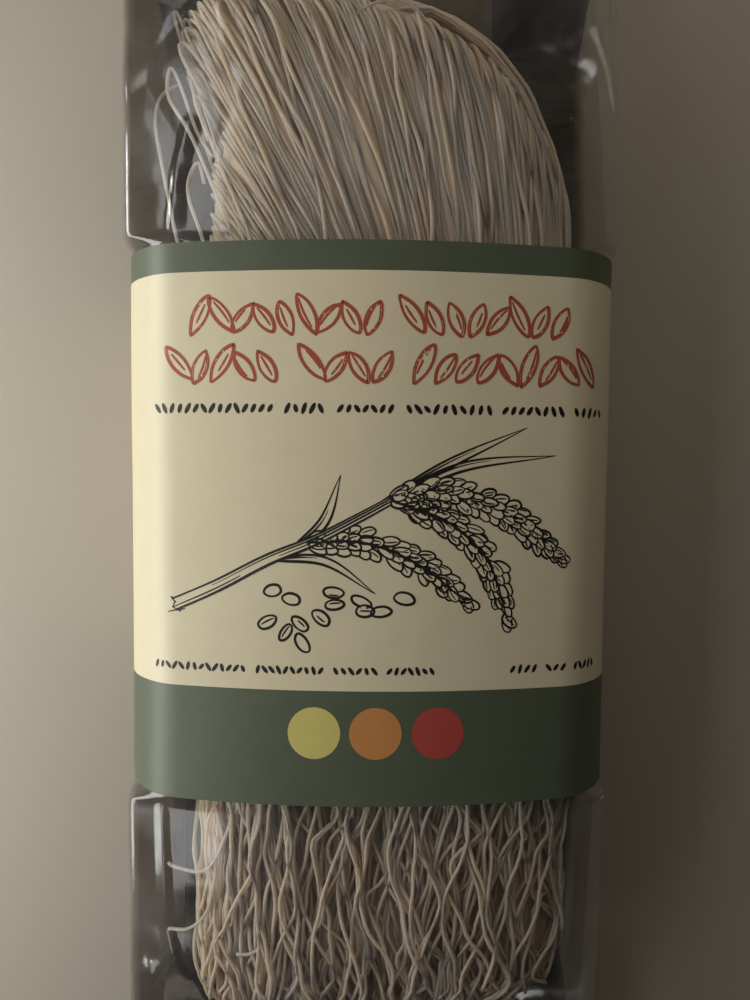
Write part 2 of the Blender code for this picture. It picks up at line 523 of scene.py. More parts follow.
# The print is flat shapes laid on the paper, all placed by u, to the right along the paper from the
# middle of the face, and v, along the pack. The face line is the paper's outline with its length so far.
faceLine = [(0.0, 0.0, sleeveShape["high"])]
for spot in reversed(halfOutline(sleeveShape, dict(under=4, heel=8, side=20, shoulder=60, face=160))[:-1]):
    lastU, lastX, lastZ = faceLine[-1]
    faceLine.append((lastU + math.hypot(spot[0] - lastX, spot[1] - lastZ), spot[0], spot[1]))


def onFace(u, v, lift):
    reach = abs(u)
    for (uA, xA, zA), (uB, xB, zB) in zip(faceLine, faceLine[1:]):
        if reach <= uB:
            share = (reach - uA) / (uB - uA)
            x, z = mix(xA, xB, share), mix(zA, zB, share)
            outX, outZ = (zA - zB) / (uB - uA), (xB - xA) / (uB - uA)
            break
    side = math.copysign(1.0, u)
    x *= side
    offset = paperRipple(x, v, z)
    return (x * (1.0 + offset / sleeveHigh.x) + outX * side * lift, v, z + offset + outZ * lift)


def directionAt(line, i):
    # unit direction of a flat line at one of its points
    last = len(line) - 1
    ahead, behind = line[min(i + 1, last)], line[max(i - 1, 0)]
    run = Vector((ahead[0] - behind[0], ahead[1] - behind[1]))
    return run.normalized() if run.length > 1e-6 else Vector((1.0, 0.0))


class Stencil:
    # collects flat shapes in u and v, and lays them on the paper as one piece;
    # each shape lies a hair above the one before, so that a later one covers it
    def __init__(self):
        self.points = []
        self.faces = []
        self.inks = []
        self.plies = 0

    def add(self, spots, faces, ink):
        base = len(self.points)
        self.points += [(u, v, self.plies) for u, v in spots]
        self.faces += [tuple(base + i for i in face) for face in faces]
        self.inks += [ink] * len(faces)

    def nextPly(self):
        self.plies += 1

    def firstPly(self):
        self.plies = 0

    def stroke(self, line, width, taper=(1.0, 1.0), ink=0):
        # a ribbon along the line; taper is its share of the width at start and end
        spots, faces = [], []
        last = len(line) - 1
        for i, spot in enumerate(line):
            run = directionAt(line, i)
            swell = 0.65 + 0.35 * math.sin(math.pi * i / last)
            half = width / 2 * swell * mix(taper[0], taper[1], i / last)
            spots.append((spot[0] - run.y * half, spot[1] + run.x * half))
            spots.append((spot[0] + run.y * half, spot[1] - run.x * half))
        for i in range(last):
            faces.append((2 * i, 2 * i + 1, 2 * i + 3, 2 * i + 2))
        self.add(spots, faces, ink)

    def patch(self, outline, rings=1, ink=0):
        # a filled shape, given counter-clockwise round its middle
        spots, faces = [], []
        count = len(outline)
        middle = (sum(p[0] for p in outline) / count, sum(p[1] for p in outline) / count)
        for ring in range(rings, 0, -1):
            share = ring / rings
            spots += [(mix(middle[0], u, share), mix(middle[1], v, share)) for u, v in outline]
        spots.append(middle)
        for ring in range(rings):
            for i in range(count):
                a, b = ring * count + i, ring * count + (i + 1) % count
                if ring < rings - 1:
                    faces.append((a, b, b + count, a + count))
                else:
                    faces.append((a, b, rings * count))
        self.add(spots, faces, ink)

    def lay(self, name, inks, lift=0.025, ply=0.0003):
        points = [onFace(u, v, lift + ply * plies) for u, v, plies in self.points]
        data = meshFrom(name, points, self.faces)
        piece = addPiece(name, data, inks)
        data.polygons.foreach_set("material_index", self.inks)
        return piece


def turned(u, v, along, across, lean):
    # the spot that lies along and across from u, v in a frame that leans by an angle
    return (u + along * math.cos(lean) - across * math.sin(lean),
            v + along * math.sin(lean) + across * math.cos(lean))


def ovalOutline(u, v, long, wide, lean, point=1.0, count=14):
    # an oval at u, v, leaning by an angle; point above 1 sharpens its two ends
    outline = []
    for i in range(count):
        angle = 2 * math.pi * i / count
        along = long / 2 * math.cos(angle)
        across = wide / 2 * math.copysign(abs(math.sin(angle)) ** point, math.sin(angle))
        outline.append(turned(u, v, along, across, lean))
    return outline


headline = dict(
    rowHeights=(37.3, 28.7),              # middle of each row
    words=(((-33.0, 2.1), (5.2, 36.4)), ((-37.3, -16.7), (-12.8, 4.0), (7.4, 42.0))),
    pitch=3.9,
    line=0.7,
    grainWidth=2.5,
    shortGrain=6.2,
    tallGrain=7.8,
    point=1.7,
    seed=4,
)
smallPrint = dict(
    words=((-40.4, -17.4), (-15.8, -8.3), (-6.3, 4.2), (5.9, 22.1), (23.5, 35.7), (37.2, 45.4)),
    height=21.4,
    grain=2.0,
    lowWords=((-40.9, -22.5), (-21.0, -8.2), (-6.8, 1.6), (3.0, 12.0), (25.8, 31.4), (32.8, 37.2),
              (38.6, 44.6)),
    lowHeight=-25.9,
    lowGrain=1.7,
    seed=11,
)


def makeSmallPrint():
    # rows of tiny grains where the small print runs
    rng = random.Random(smallPrint["seed"])
    shapes = Stencil()
    rows = ((smallPrint["words"], smallPrint["height"], smallPrint["grain"]),
            (smallPrint["lowWords"], smallPrint["lowHeight"], smallPrint["lowGrain"]))
    for words, height, grain in rows:
        for start, end in words:
            count = max(2, round((end - start) / (grain * 0.78)))
            for i in range(count):
                u = mix(start, end, (i + 0.5) / count)
                lean = math.radians(90 + rng.choice((-1, 1)) * rng.uniform(12, 42))
                long = grain * rng.uniform(0.8, 1.15)
                shapes.patch(ovalOutline(u, height, long, grain * 0.42, lean, 1.0, 10))
    return shapes.lay("smallPrintMarks", [blackInk])


riceSpray = dict(
    line=0.4,                             # pen stroke
    edgeLine=(0.4, 0.45),                 # along the two sides of the stem
    fineLine=0.3,                         # inside it
    spineLine=0.6,                        # down the middle of an ear
    stem=((-36.4, -14.6), (-28.0, -10.8), (-18.7, -5.9), (-10.0, -2.2), (-2.0, 2.0), (4.5, 5.6)),
    stemWide=(2.2, 1.3),
    ears=(
        ((3.0, 5.2), (13.0, 6.6), (25.0, 2.6), (36.0, -6.0)),
        ((5.0, 4.6), (14.0, 1.2), (21.5, -6.0), (25.4, -17.0)),
        ((-11.5, -2.6), (-1.0, -2.6), (9.0, -6.6), (17.8, -13.6)),
    ),
    # each leaf: its middle line, and how wide the blade is
    leaves=(
        (((-14.0, -4.0), (-8.4, 1.2), (-5.4, 9.6)), 1.7),
        (((2.0, 4.6), (13.5, 11.5), (28.4, 18.4)), 1.5),
        (((3.0, 4.9), (16.5, 11.2), (34.0, 13.4)), 1.5),
        (((-17.5, -5.6), (-8.0, -6.0), (1.0, -11.8)), 1.4),
    ),
    grainLong=3.5,
    grainWide=1.75,
    grainPitch=2.0,
    looseLong=3.5,
    looseWide=2.0,
    # where each loose grain lies, and how it leans
    looseGrains=((-17.6, -11.4, 0.2), (-14.2, -12.9, -0.2), (-18.6, -17.2, 0.5), (-15.2, -19.0, 1.0),
                 (-12.6, -17.4, -0.7), (-12.2, -20.9, -1.0), (-8.8, -16.2, -0.7), (-6.6, -11.6, -0.1),
                 (-6.4, -13.8, 0.1), (-1.6, -13.2, -0.4), (-0.9, -14.9, 0.0), (2.0, -15.0, 0.1),
                 (6.2, -12.6, -0.2)),
    seed=23,
)


def flatPath(points, step=0.8):
    return [(p.x, p.y) for p in smoothPath([(u, v, 0.0) for u, v in points], step)]


def sideLine(path, offset):
    # the path moved sideways, offset being a number for each point
    line = []
    for i, (u, v) in enumerate(path):
        run = directionAt(path, i)
        line.append((u - run.y * offset[i], v + run.x * offset[i]))
    return line


def inkGrain(shapes, u, v, long, wide, lean, line, rng, creases, point=1.0):
    # a pen-drawn grain: an open oval that overshoots a little, and a crease or two
    shapes.nextPly()
    shapes.patch(ovalOutline(u, v, long, wide, lean, point, 12), ink=1)
    shapes.nextPly()
    start = rng.uniform(0, 2 * math.pi)
    turn = []
    for i in range(25):
        angle = start + 2 * math.pi * 1.05 * i / 24
        along = long / 2 * math.cos(angle) * (1.0 + 0.05 * math.sin(3 * angle + start))
        across = wide / 2 * math.copysign(abs(math.sin(angle)) ** point, math.sin(angle))
        turn.append(turned(u, v, along, across, lean))
    shapes.stroke(turn, line)
    for _ in range(creases):
        side = rng.uniform(-0.3, 0.3) * wide
        reach = rng.uniform(0.25, 0.42) * long
        crease = []
        for i in range(5):
            along = reach * (1.0 - 0.45 * i)
            across = side * math.cos(1.4 * along / long * 2.0)
            crease.append(turned(u, v, along, across, lean))
        shapes.stroke(crease, line * 0.7)


def inkEar(shapes, ear, rng):
    # a hanging ear, grain over grain from its tip back to the stem
    line = riceSpray["line"]
    shapes.stroke(flatPath(ear), riceSpray["spineLine"], (1.0, 0.6))
    path = flatPath(ear, riceSpray["grainPitch"])
    last = len(path) - 1
    shapes.firstPly()
    for i in range(last, 0, -1):
        u, v = path[i]
        heading = math.atan2(v - path[i - 1][1], u - path[i - 1][0])
        full = min(0.35 + 0.2 * i, 0.2 + 0.17 * (last - i), 0.95)
        spread = ((-1, 1.9), (1, 1.9), (-1, 0.6), (1, 0.6)) if full > 0.45 else ((-1, 1.2), (1, 1.2))
        for hand, out in spread:
            if rng.random() < 0.14:
                continue
            lean = heading + hand * math.radians(rng.uniform(12, 34)) * min(out, 1.0)
            side = hand * out * full * rng.uniform(0.85, 1.12)
            slip = rng.uniform(-0.45, 0.45)
            long = riceSpray["grainLong"] * rng.uniform(0.8, 1.08)
            wide = riceSpray["grainWide"] * rng.uniform(0.85, 1.1)
            atU, atV = turned(u, v, slip, side, heading)
            inkGrain(shapes, atU, atV, long, wide, lean, line * rng.uniform(0.85, 1.2), rng,
                     rng.choice((0, 1, 1, 2)))


def makeRiceSpray():
    # a pen drawing of a spray of rice: stem, leaves, three hanging ears and some loose grains
    rng = random.Random(riceSpray["seed"])
    line = riceSpray["line"]
    shapes = Stencil()
    for leaf, wide in riceSpray["leaves"]:
        path = flatPath(leaf)
        last = len(path) - 1
        blade = [wide / 2 * math.sin(math.pi * (0.12 + 0.88 * i / last)) for i in range(last + 1)]
        shapes.stroke(sideLine(path, blade), line, (1.5, 0.5))
        shapes.stroke(sideLine(path, [-b for b in blade]), line, (1.9, 0.5))
        stop = int(last * rng.uniform(0.45, 0.7))
        shapes.stroke(sideLine(path, [b * 0.3 for b in blade])[:stop], line, (1.6, 0.3))
    for ear in riceSpray["ears"]:
        inkEar(shapes, ear, rng)
    shapes.nextPly()
    stem = flatPath(riceSpray["stem"])
    last = len(stem) - 1
    startWide, endWide = riceSpray["stemWide"]
    half = [mix(startWide, endWide, i / last) / 2 for i in range(last + 1)]
    shapes.stroke(stem, startWide * 1.1, (1.0, 0.6), ink=1)
    shapes.nextPly()
    upperLine, lowerLine = riceSpray["edgeLine"]
    fine = riceSpray["fineLine"]
    shapes.stroke(sideLine(stem, half), upperLine, (1.2, 1.0))
    shapes.stroke(sideLine(stem, [-h for h in half]), lowerLine, (1.3, 1.0))
    shapes.stroke(sideLine(stem, [h * 0.45 for h in half])[int(last * 0.2):], fine, (0.6, 1.6))
    shapes.stroke(sideLine(stem, [-h * 0.35 for h in half])[:int(last * 0.35)], fine)
    shapes.stroke(sideLine(stem, [-h * 0.2 for h in half])[int(last * 0.5):], fine, (0.8, 1.6))
    # its ragged cut end
    cutU, cutV = riceSpray["stem"][0]
    shapes.stroke([(cutU - 0.5, cutV + 1.5), (cutU + 0.3, cutV + 0.5), (cutU - 0.2, cutV - 0.4),
                   (cutU + 1.4, cutV - 1.2)], 0.42)
    shapes.stroke([(cutU - 1.2, cutV - 1.4), (cutU + 0.4, cutV - 1.0), (cutU + 2.2, cutV - 0.7)], 0.26)
    shapes.firstPly()
    for u, v, lean in riceSpray["looseGrains"]:
        long = riceSpray["looseLong"] * rng.uniform(0.85, 1.1)
        wide = riceSpray["looseWide"] * rng.uniform(0.85, 1.1)
        inkGrain(shapes, u, v, long, wide, lean, line * 1.3, rng, rng.choice((0, 0, 1)))
    return shapes.lay("riceSprayDrawing", [blackInk, creamPaper])


def makeHeadline():
    # two rows of drawn rice grains, grouped like the words of a heading
    rng = random.Random(headline["seed"])
    shapes = Stencil()
    for height, words in zip(headline["rowHeights"], headline["words"]):
        for start, end in words:
            count = round((end - start) / headline["pitch"])
            for i in range(count):
                u = mix(start, end, (i + 0.5) / count)
                long = headline["tallGrain"] if i == 0 or rng.random() < 0.2 else headline["shortGrain"]
                lift = (long - headline["shortGrain"]) / 2
                lean = math.radians(90 + rng.choice((-1, 1)) * rng.uniform(20, 42))
                inkGrain(shapes, u, height + lift, long, headline["grainWidth"], lean, headline["line"],
                         rng, 1, headline["point"])
    return shapes.lay("headlineGrains", [terracottaInk, creamPaper])


colourDiscs = dict(
    height=-37.4,
    across=9.6,
    places=((-10.0, limeInk, "limeDisc"), (1.2, orangeInk, "orangeDisc"), (12.6, redInk, "redDisc")),
)


def makeDiscs():
    # three plain discs on the wide green band
    for u, ink, name in colourDiscs["places"]:
        shapes = Stencil()
        shapes.patch(ovalOutline(u, colourDiscs["height"], colourDiscs["across"], colourDiscs["across"],
                                 0.0, 1.0, 40), 4)
        shapes.lay(name, [ink])


makeHeadline()
makeSmallPrint()
makeRiceSpray()
makeDiscs()
print("print ready")


# the noodles: single threads over a packed core
strand = dict(
    thickness=0.76,       # combed threads of the folded end
    wavyThickness=0.7,
    strayThickness=0.66,
    step=2.2,             # point spacing along a thread
    wavyStep=1.8,
    backStep=4.5,         # and on its way back underneath
    curl=12.0,            # how deep the turn at its end is
    curlSteps=20,
    bundle=(3, 8),        # threads in a combed bundle
    bundleSwing=0.9,      # how far a bundle sways, each thread in it, and how far a thread lifts
    combedSwing=0.55,
    combedRise=0.3,
    wavySwing=0.8,
    wavyRise=0.8,
)

# Each end of the hank has its outline in plan, how far it reaches to the left and right at a
# distance from the middle of the pack. The threads lie on it, turn round its edge and go back under.
# The folded end, above the sleeve: threads lean to the left and fold along a ragged left edge.
foldedEnd = dict(
    side=1.0,             # which way along the pack it points
    root=sleeveHigh.y - 8.0,      # threads begin under the sleeve
    start=sleeveHigh.y + 2.0,
    crest=107.0,          # its furthest reach
    bend=27.0,            # stretch before that over which it rounds down
    middle=22.4,
    halfHeight=20.3,
    left=((50.0, -34.0), (67.0, -32.8), (77.0, -30.6), (84.0, -33.6), (97.0, -37.0), (103.0, -36.0),
          (105.8, -29.0), (107.0, -14.0)),
    right=((50.0, 39.8), (62.0, 38.4), (71.0, 36.2), (81.0, 32.0), (89.0, 25.4), (95.0, 17.6), (98.5, 10.0),
           (101.0, 2.0), (103.5, -6.0), (107.0, -16.0)),
    # how far a thread that starts at x drifts to the left by the crest, and how late it does so
    drift=((-34.0, 37.0), (-17.0, 33.0), (-8.0, 26.0), (0.0, 19.5), (15.0, 13.5), (30.0, 9.0), (39.0, 7.0)),
    bow=((-34.0, 1.0), (0.0, 1.06), (39.0, 1.5)),
)
# The loose end, below the sleeve: wavy threads that cross over each other and meet at knots. The knots
# stand further apart by its opening, from left to right.
looseEnd = dict(
    side=-1.0,
    root=-sleeveLow.y - 8.0,
    start=-sleeveLow.y + 2.0,
    crest=107.5,
    bend=30.0,
    middle=22.2,
    halfHeight=20.1,
    left=((50.0, -36.0), (80.0, -36.5), (98.0, -36.0), (104.0, -30.0), (107.5, -8.0)),
    right=((50.0, 42.5), (80.0, 42.0), (96.0, 40.0), (103.0, 31.0), (107.5, 8.0)),
    opening=((-36.0, 0.55), (-20.0, 0.7), (-8.0, 1.0), (20.0, 1.15), (42.0, 1.4)),
    crowd=1.22,           # above 1 puts more of the threads at the left
)


def flatOval(share):
    # height of the hank's cross-section at a share of its half width
    return (1.0 - share ** 5) ** 0.45


def hankHalf(end, x, reach, inset):
    # half the height of the hank at x, reach being the distance from the middle of the pack
    left = between(end["left"], reach) + inset
    right = between(end["right"], reach) - inset
    share = clamp(abs(2.0 * x - left - right) / max(right - left, 0.1))
    past = clamp((reach - end["crest"] + end["bend"]) / (end["bend"] - inset))
    return (end["halfHeight"] - inset) * flatOval(share) * math.sqrt(1.0 - past * past)


def turningPoint(end, path, inset):
    # how far a thread gets before it meets the outline
    reach = end["start"]
    while reach + 0.5 < end["crest"] - inset:
        left = between(end["left"], reach + 0.5) + inset
        right = between(end["right"], reach + 0.5) - inset
        if not left < path(reach + 0.5) < right:
            break
        reach += 0.5
    return reach


def hairpin(end, path, inset, drop, step):
    # one thread as (x, y, z, run): out over the top, round the edge and back underneath
    turn = turningPoint(end, path, inset) - drop
    curl = min(strand["curl"], turn - end["root"] - 1.0)
    stations = [(reach, 1.0) for reach in spans(end["root"], turn - curl, step)[:-1]]
    for i in range(strand["curlSteps"] + 1):
        angle = math.pi * i / strand["curlSteps"]
        stations.append((turn - curl + curl * math.sin(angle),
                         math.copysign(abs(math.cos(angle)) ** 0.5, math.cos(angle))))
    stations += [(reach, -1.0) for reach in spans(turn - curl, end["root"], strand["backStep"])[1:]]
    line = []
    run = 0.0
    for reach, height in stations:
        x = path(reach)
        spot = Vector((x, reach * end["side"], end["middle"] + hankHalf(end, x, reach, inset) * height))
        if line:
            run += (spot - line[-1][0]).length
        line.append((spot, run))
    return line


def makeLocks(end, pitch, rng, size, tilt, gap):
    # bundles of neighbouring threads, as (x places, what they share)
    locks = []
    x = end["left"][0][1] + 0.6
    right = end["right"][0][1] - 0.6
    while x < right:
        places = []
        for _ in range(rng.randint(*size)):
            if x < right:
                places.append(x)
            x += pitch * rng.uniform(0.8, 1.15)
        spread = (x - end["left"][0][1]) / (right - end["left"][0][1])
        locks.append((places, dict(seed=rng.uniform(0, 900), tilt=rng.uniform(-tilt, tilt),
                                   sink=rng.uniform(-0.1, 0.6), drop=rng.uniform(0.0, 1.6))))
        x += rng.uniform(0.0, mix(gap[0], gap[1], clamp(spread)))
    return locks


def combedThread(x, depth, lock, own, rng, loose=1.0):
    # lock is what a bundle of neighbours shares, own is this thread's seed
    drift, bow = between(foldedEnd["drift"], x), between(foldedEnd["bow"], x)
    span = foldedEnd["crest"] - foldedEnd["start"]

    def path(reach):
        share = (reach - foldedEnd["start"]) / span
        drifted = x - drift * math.copysign(abs(share) ** bow, share)
        return drifted + lock["tilt"] * (reach - foldedEnd["start"])

    drop = lock["drop"] + rng.uniform(0.0, 1.2)
    line = []
    for spot, run in hairpin(foldedEnd, path, depth + lock["sink"], drop, strand["step"]):
        swing = strand["bundleSwing"] * wander(lock["seed"], run, 40.0)
        quiver = 0.16 * wander(own + 5.5, run, 9.0)
        swing += loose * (strand["combedSwing"] * wander(own, run, 27.0) + quiver)
        rise = strand["combedRise"] * loose * wander(own + 2.2, run, 20.0)
        line.append(underFilm(spot.x + swing, spot.y + 0.4 * wander(own + 8.1, run, 12.0), spot.z + rise))
    return line


def combedLayer(depth, pitch, seed, tilt, gap):
    rng = random.Random(seed)
    lines = []
    for places, lock in makeLocks(foldedEnd, pitch, rng, strand["bundle"], tilt, gap):
        for x in places:
            lines.append(combedThread(x, depth, lock, rng.uniform(0, 900), rng))
    return lines


crossing = dict(
    count=58,
    seed=53,
    looseLeft=-8.0,       # left of this place they lean further
    leanLeft=0.2,
    leanRight=0.1,
    sink=(-0.35, 0.15),   # below the combed threads
    drop=(0.0, 5.0),      # how far short of the edge they turn
)
arcs = dict(
    count=24,
    seed=61,
    inset=(1.2, 5.4),     # from the outline
    height=(0.3, 0.95),   # as a share of the hank's own
    stop=(95.0, 106.0),   # how far along the pack they run
)


def crossingThreads():
    # single threads that lie over the combed ones at an angle of their own
    rng = random.Random(crossing["seed"])
    left, right = foldedEnd["left"][0][1] + 1.0, foldedEnd["right"][0][1] - 2.0
    lines = []
    for i in range(crossing["count"]):
        x = mix(left, right, (i + rng.random()) / crossing["count"])
        spread = crossing["leanLeft"] if x < crossing["looseLeft"] else crossing["leanRight"]
        lock = dict(seed=rng.uniform(0, 900), tilt=rng.uniform(-spread, spread * 1.3),
                    sink=rng.uniform(*crossing["sink"]), drop=rng.uniform(*crossing["drop"]))
        lines.append(combedThread(x, 0.0, lock, rng.uniform(0, 900), rng, 2.0))
    return lines


def arcThreads():
    # threads that run round the right shoulder of the folded end, along its outline
    rng = random.Random(arcs["seed"])
    lines = []
    for _ in range(arcs["count"]):
        inset = rng.uniform(*arcs["inset"])
        height = rng.uniform(*arcs["height"])
        own = rng.uniform(0, 900)
        stop = rng.uniform(*arcs["stop"])
        line = []
        run = 0.0
        for reach in spans(foldedEnd["root"], stop, strand["step"]):
            edge = between(foldedEnd["right"], reach) - inset
            half = hankHalf(foldedEnd, edge - 2.0, reach, 0.0) * height
            run += strand["step"]
            line.append(underFilm(edge + 0.7 * wander(own, run, 22.0), reach,
                                  foldedEnd["middle"] + half + 0.8 * wander(own + 3.3, run, 18.0)))
        last = Vector(line[-1])
        for k in range(1, 5):
            line.append(underFilm(last.x - 4.2 * k, last.y + 0.5 * k - 0.25 * k * k, last.z - 0.7 * k))
        lines.append(line)
    return lines


def makeKnots(rng, pitch, spacing):
    # places where neighbouring threads stick together, row by row away from the sleeve;
    # they lie closer at the left, where the threads are packed
    rows = []
    reach = looseEnd["root"] - spacing
    while reach < looseEnd["crest"] + spacing:
        row = []
        x = looseEnd["left"][0][1] + rng.uniform(0.0, pitch)
        while x < looseEnd["right"][0][1]:
            room = pitch * between(looseEnd["opening"], x)
            row.append((x + rng.uniform(-0.3, 0.3) * room, reach + rng.uniform(-0.4, 0.4) * spacing))
            x += room
        rows.append(row)
        reach += spacing * rng.uniform(0.8, 1.25)
    return rows


def wanderFrom(rows, x, rng):
    # a thread's way from knot to knot, as (reach, x)
    aside = rng.uniform(-0.8, 0.8)
    way = []
    lean = rng.choice((-1, 1))
    for row in rows:
        nearest = min(range(len(row)), key=lambda i: abs(row[i][0] - x))
        pick = nearest + rng.choice((0, lean, lean, -lean)) if way else nearest
        pick = min(max(pick, 0), len(row) - 1)
        if rng.random() < 0.35:
            lean = -lean
        x = row[pick][0]
        if way and row[pick][1] <= way[-1][0] + 3.0:
            continue
        way.append((row[pick][1], x + aside + rng.uniform(-0.25, 0.25)))
    return way


def eased(pairs, value):
    # like between, but rounding each corner
    for (atA, amountA), (atB, amountB) in zip(pairs, pairs[1:]):
        if value <= atB:
            share = clamp((value - atA) / (atB - atA))
            return mix(amountA, amountB, mix(share, ease(share), 0.75))
    return pairs[-1][1]


def looseThread(way, depth, rng, loose):
    own = rng.uniform(0, 900)
    drop = rng.uniform(0.0, 5.0)
    line = []
    for spot, run in hairpin(looseEnd, lambda reach: eased(way, reach), depth, drop, strand["wavyStep"]):
        free = clamp(run / 10.0, 0.25)
        swing = strand["wavySwing"] * wander(own, run, 13.0) + 0.25 * wander(own + 5.5, run, 5.0)
        swing *= free * loose
        quiver = 0.25 * wander(own + 2.2, run, 6.0)
        rise = (strand["wavyRise"] * wander(own + 4.4, run, 15.0) + quiver) * free
        line.append(underFilm(spot.x + swing, spot.y, spot.z + rise - 0.3))
    return line


def looseLayer(depth, count, seed, pitch, spacing, loose=1.0):
    rng = random.Random(seed)
    rows = makeKnots(rng, pitch, spacing)
    left, right = looseEnd["left"][0][1] + 0.6, looseEnd["right"][0][1] - 0.6
    lines = []
    for i in range(count):
        x = mix(left, right, ((i + rng.random()) / count) ** looseEnd["crowd"])
        lines.append(looseThread(wanderFrom(rows, x, rng), depth + rng.uniform(-0.3, 0.3), rng, loose))
    return lines


# depth is below the outline of the hank, tilt how far a bundle may lean, gap the room between bundles
# at the left and at the right, spacing how far apart the knots are along the pack
combedLayers = dict(
    combedOuterStrands=dict(depth=0.0, pitch=0.64, seed=31, tilt=0.06, gap=(0.1, 0.4)),
    combedTopStrands=dict(depth=-0.05, pitch=2.0, seed=47, tilt=0.10, gap=(0.3, 1.8)),
)
looseLayers = dict(
    looseTopStrands=dict(depth=-0.3, count=44, seed=83, pitch=4.4, spacing=12.0, loose=1.3),
    looseOuterStrands=dict(depth=0.5, count=74, seed=59, pitch=3.4, spacing=11.0),
    looseMiddleStrands=dict(depth=1.4, count=80, seed=71, pitch=2.8, spacing=10.0),
    looseInnerStrands=dict(depth=2.4, count=88, seed=73, pitch=2.4, spacing=9.0),
)


def makeStrands():
    for name, layer in combedLayers.items():
        threadPiece(name, combedLayer(**layer), strand["thickness"], noodleStarch)
    threadPiece("crossingStrands", crossingThreads() + arcThreads(), strand["thickness"], noodleStarch)
    for name, layer in looseLayers.items():
        threadPiece(name, looseLayer(**layer), strand["wavyThickness"], noodleStarch)


# threads that stand clear of the hank, each led through its own points
strayThreads = (
    ((-22.0, 46.0, 37.5), (-26.0, 54.0, 39.0), (-33.3, 71.0, 38.5), (-38.0, 79.0, 37.0),
     (-37.9, 84.6, 36.2), (-36.2, 82.0, 36.4), (-32.6, 72.5, 38.0), (-29.5, 67.5, 38.8)),
    ((-35.0, 46.0, 36.0), (-37.0, 54.5, 36.5), (-40.2, 69.0, 34.5), (-41.6, 76.5, 33.0),
     (-41.0, 82.0, 31.0), (-38.0, 86.0, 28.0)),
    ((-30.0, 46.0, 37.0), (-31.7, 53.2, 38.0), (-34.1, 60.5, 38.4), (-33.7, 64.5, 38.6),
     (-32.2, 66.6, 38.6), (-31.2, 63.0, 38.2)),
    ((-6.0, 90.0, 40.5), (-1.0, 95.0, 38.8), (4.0, 97.0, 37.2), (8.0, 95.6, 36.4), (11.0, 90.5, 37.4),
     (12.0, 84.0, 39.5)),
    ((37.0, 50.0, 36.0), (36.0, 63.0, 36.4), (32.6, 73.5, 36.4), (27.4, 82.0, 36.2), (21.5, 88.0, 35.4)),
    ((-26.0, -57.0, 40.0), (-30.5, -66.0, 40.0), (-37.0, -66.6, 38.5), (-38.6, -66.0, 37.8)),
    ((-29.0, -60.0, 39.6), (-29.2, -68.0, 40.0), (-31.0, -75.0, 39.6), (-34.5, -78.6, 38.8),
     (-38.6, -79.4, 37.6)),
    ((-17.0, -74.0, 41.2), (-18.8, -79.0, 41.0), (-22.0, -82.2, 40.8), (-25.0, -82.8, 40.2)),
)


tips = dict(
    count=22,
    start=74.0,           # along the pack
    end=101.0,
    rise=(5.0, 14.5),     # above the middle of the hank
    droop=9.0,            # how much lower they get, from where, and over what stretch
    droopStart=86.0,
    droopRun=16.0,
    slope=(0.3, 0.7),
    reach=(10.0, 20.0),
    gap=(0.9, 1.8),       # between the two arms
    seed=83,
)


def hairpinTips():
    # sharp folds that show along the ragged left edge of the folded end
    rng = random.Random(tips["seed"])
    lines = []
    for i in range(tips["count"]):
        y = mix(tips["start"], tips["end"], (i + rng.random()) / tips["count"])
        edge = between(foldedEnd["left"], y) + rng.uniform(-0.5, 2.5)
        droop = tips["droop"] * clamp((y - tips["droopStart"]) / tips["droopRun"])
        z = foldedEnd["middle"] + rng.uniform(*tips["rise"]) - droop
        slope = rng.uniform(*tips["slope"])
        reach = rng.uniform(*tips["reach"])
        gap = rng.uniform(*tips["gap"])
        tip = Vector((edge - rng.uniform(0.5, 3.0), y, z))
        back = Vector((slope * reach, -reach, rng.uniform(0.0, 2.0)))
        across = Vector((gap, gap * slope, 0.0))
        lines.append([tuple(p) for p in smoothPath((
            tip + back - across * 0.6, tip + back * 0.45 - across * 0.7, tip + back * 0.08 - across * 0.5,
            tip, tip + back * 0.08 + across * 0.5, tip + back * 0.5 + across * 0.8,
            tip + back * 1.05 + across * 1.2), 0.9)])
    return lines


def makeStrays():
    lines = [[tuple(p) for p in smoothPath(points, 0.9)] for points in strayThreads]
    threadPiece("strayStrands", lines + hairpinTips(), strand["strayThickness"], strayStarch)


core = dict(
    foldedSink=0.12,      # below the outline; the combed threads are half sunk in it
    looseSink=3.0,
    edge=1.5,             # how far inside the outline its sides are
    foldedEdge=3.2,
    foldedShort=3.5,      # and how far short of the folds it stops
    left=-36.0,           # its sides in the middle of the pack
    right=40.0,
    underSleeve=(0.0, 20.0, 40.0),
    rowStart=46.0,
    rowStep=1.6,
    endSteps=24,
    acrossTop=260,        # points across its face, and across its back
    acrossBack=70,
    rib=0.42,             # height and width of the ribs that the fused threads make
    ribWidth=1.0,
    swell=0.35,           # height and width of its slower lumps
    swellWidth=6.0,
)


def combedFrom(x, reach):
    # where on the sleeve's edge the thread starts that passes x at this distance
    share = (reach - foldedEnd["start"]) / (foldedEnd["crest"] - foldedEnd["start"])
    start = x
    for _ in range(4):
        drift, bow = between(foldedEnd["drift"], start), between(foldedEnd["bow"], start)
        start = x + drift * math.copysign(abs(share) ** bow, share)
    return start


